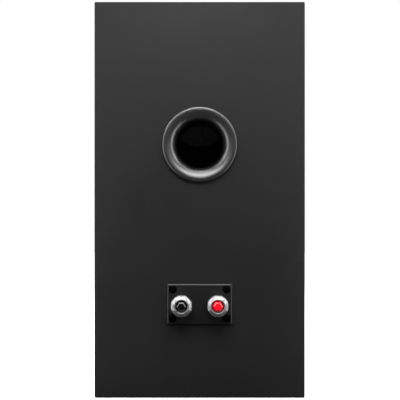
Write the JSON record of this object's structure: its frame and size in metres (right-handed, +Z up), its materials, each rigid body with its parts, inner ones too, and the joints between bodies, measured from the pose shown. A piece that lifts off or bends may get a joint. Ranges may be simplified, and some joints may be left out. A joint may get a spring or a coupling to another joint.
{
  "type": "bookshelf speaker",
  "caption": "Rear-ported bookshelf loudspeaker with screw binding posts on a terminal plate, cone and dome drivers, and a lift-off cloth grille.",
  "frame": {"origin": "middle of the bounding box's footprint, on the surface the cabinet stands on", "axes": "+Z up; -Y towards the listener, the side of the grille; +Y to the rear, the side of the port and the binding posts; +X to the right as seen from the front"},
  "size_m": [0.178, 0.24, 0.335],
  "materials": {
    "cabinet_vinyl": "matte black vinyl foil over fibreboard, fine leather-like grain",
    "baffle_vinyl": "matte black vinyl foil over fibreboard",
    "port_plastic": "satin black moulded plastic",
    "plate_plastic": "fine-sparked black moulded plastic",
    "gasket_foam": "closed-cell foam",
    "wadding": "off-white polyester wadding",
    "black_screws": "black oxide steel",
    "nickel": "nickel-plated brass",
    "knob_chrome": "satin chrome-plated brass",
    "cap_black": "gloss black plastic",
    "cap_red": "gloss red plastic",
    "zinc_steel": "zinc-plated steel",
    "ferrite": "ground ferrite",
    "hardboard": "brown hardboard",
    "copper_wire": "enamelled copper winding",
    "capacitor_sleeve": "shrink sleeve",
    "film_capacitor": "yellow film wrap",
    "cone_paper": "black pressed paper pulp",
    "dust_cap_paper": "black pressed paper",
    "surround_rubber": "soft black rubber",
    "spider_cloth": "resin-treated cotton",
    "coil_former": "varnished paper former with copper winding",
    "dome_silk": "coated black silk",
    "grille_plastic": "black moulded plastic",
    "grille_cloth": "fine black knitted cloth",
    "wire_black": "black wire insulation",
    "wire_red": "red wire insulation",
    "wire_grey": "grey twin flex"
  },
  "bodies": {
    "cabinet": {"left_side_board": "cabinet_vinyl", "right_side_board": "cabinet_vinyl", "top_board": "cabinet_vinyl", "bottom_board": "cabinet_vinyl", "back_board": "cabinet_vinyl", "front_baffle": "baffle_vinyl", "damping_pad": "wadding", "port_tube": "port_plastic", "terminal_plate": "plate_plastic", "terminal_gasket": "gasket_foam", "terminal_screw_1": "black_screws", "terminal_screw_2": "black_screws", "terminal_screw_3": "black_screws", "terminal_screw_4": "black_screws", "woofer_screw_1": "black_screws", "woofer_screw_2": "black_screws", "woofer_screw_3": "black_screws", "woofer_screw_4": "black_screws", "tweeter_screw_1": "black_screws", "tweeter_screw_2": "black_screws", "tweeter_screw_3": "black_screws", "binding_stud_black": "nickel", "solder_tab_black": "nickel", "stud_nut_black": "zinc_steel", "binding_stud_red": "nickel", "solder_tab_red": "nickel", "stud_nut_red": "zinc_steel", "woofer_frame": "black_screws", "woofer_trim_ring": "port_plastic", "woofer_surround": "surround_rubber", "woofer_spider": "spider_cloth", "woofer_top_plate": "zinc_steel", "woofer_yoke": "zinc_steel", "tweeter_top_plate": "zinc_steel", "tweeter_yoke": "zinc_steel", "woofer_magnet": "ferrite", "tweeter_magnet": "ferrite", "tweeter_faceplate": "port_plastic", "tweeter_surround": "surround_rubber", "crossover_board": "hardboard", "woofer_inductor": "copper_wire", "tweeter_inductor": "copper_wire", "woofer_capacitor": "capacitor_sleeve", "tweeter_capacitor": "film_capacitor", "lead_black": "wire_black", "lead_red": "wire_red", "woofer_cable": "wire_grey", "tweeter_cable": "wire_grey"},
    "grille": {"grille_frame": "grille_plastic", "grille_cloth": "grille_cloth"},
    "woofer_diaphragm": {"woofer_cone": "cone_paper", "dust_cap": "dust_cap_paper", "voice_coil": "coil_former"},
    "tweeter_diaphragm": {"tweeter_dome": "dome_silk"},
    "black_clamp": {"clamp_washer_black": "nickel"},
    "black_knob": {"knob_nut_black": "knob_chrome"},
    "black_cap": {"plug_cap_black": "cap_black"},
    "red_clamp": {"clamp_washer_red": "nickel"},
    "red_knob": {"knob_nut_red": "knob_chrome"},
    "red_cap": {"plug_cap_red": "cap_red"}
  },
  "joints": [
    {"name": "grille_pull", "type": "slide", "parent": "cabinet", "child": "grille", "axis": [0, -1, 0], "range_m": [0, 0.06]},
    {"name": "woofer_travel", "type": "slide", "parent": "cabinet", "child": "woofer_diaphragm", "axis": [0, -1, 0], "range_m": [-0.004, 0.004], "stiffness_N_per_m": 1000, "deforming": ["woofer_surround", "woofer_spider"]},
    {"name": "tweeter_travel", "type": "slide", "parent": "cabinet", "child": "tweeter_diaphragm", "axis": [0, -1, 0], "range_m": [-0.0005, 0.0005], "stiffness_N_per_m": 1500, "deforming": ["tweeter_surround"]},
    {"name": "black_clamp_slide", "type": "slide", "parent": "cabinet", "child": "black_clamp", "axis": [0, 1, 0], "range_m": [0, 0.005]},
    {"name": "black_knob_turn", "type": "hinge", "parent": "black_clamp", "child": "black_knob", "pos_m": [0.0153, 0.11, 0.0785], "axis": [0, 1, 0], "range_deg": [0, 1800]},
    {"name": "black_cap_pull", "type": "slide", "parent": "black_knob", "child": "black_cap", "axis": [0, 1, 0], "range_m": [0, 0.03]},
    {"name": "red_clamp_slide", "type": "slide", "parent": "cabinet", "child": "red_clamp", "axis": [0, 1, 0], "range_m": [0, 0.005]},
    {"name": "red_knob_turn", "type": "hinge", "parent": "red_clamp", "child": "red_knob", "pos_m": [-0.0153, 0.11, 0.0785], "axis": [0, 1, 0], "range_deg": [0, 1800]},
    {"name": "red_cap_pull", "type": "slide", "parent": "red_knob", "child": "red_cap", "axis": [0, 1, 0], "range_m": [0, 0.03]}
  ],
  "couplings": [
    {"joint": "black_knob_turn", "follows": "black_clamp_slide", "rad_per_m": 6283.2},
    {"joint": "red_knob_turn", "follows": "red_clamp_slide", "rad_per_m": 6283.2}
  ]
}
